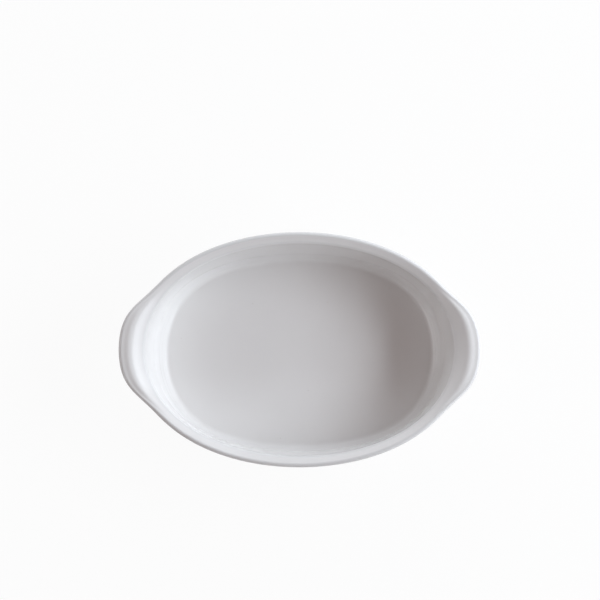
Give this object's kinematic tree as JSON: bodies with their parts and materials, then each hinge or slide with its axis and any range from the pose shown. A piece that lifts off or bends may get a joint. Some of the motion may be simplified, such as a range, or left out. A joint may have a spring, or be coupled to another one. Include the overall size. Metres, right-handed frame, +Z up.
{
  "type": "gratin dish",
  "caption": "Oval glazed stoneware dish for baking and serving gratins, with steep sides, a sloping rim that stands up all around and a lug handle at each end",
  "frame": {"origin": "on the table, under the centre of the dish", "axes": "X along the dish through both handles, Y across it, Z up"},
  "size_m": [0.275, 0.1794, 0.0564],
  "materials": {
    "fired_clay": "bare fired clay, matt",
    "white_glaze": "glossy white glaze"
  },
  "bodies": {
    "root": {"stoneware_body": "fired_clay", "left_handle": "fired_clay", "right_handle": "fired_clay", "inner_glaze": "white_glaze", "outer_glaze": "white_glaze", "underside_glaze": "white_glaze"}
  },
  "joints": []
}
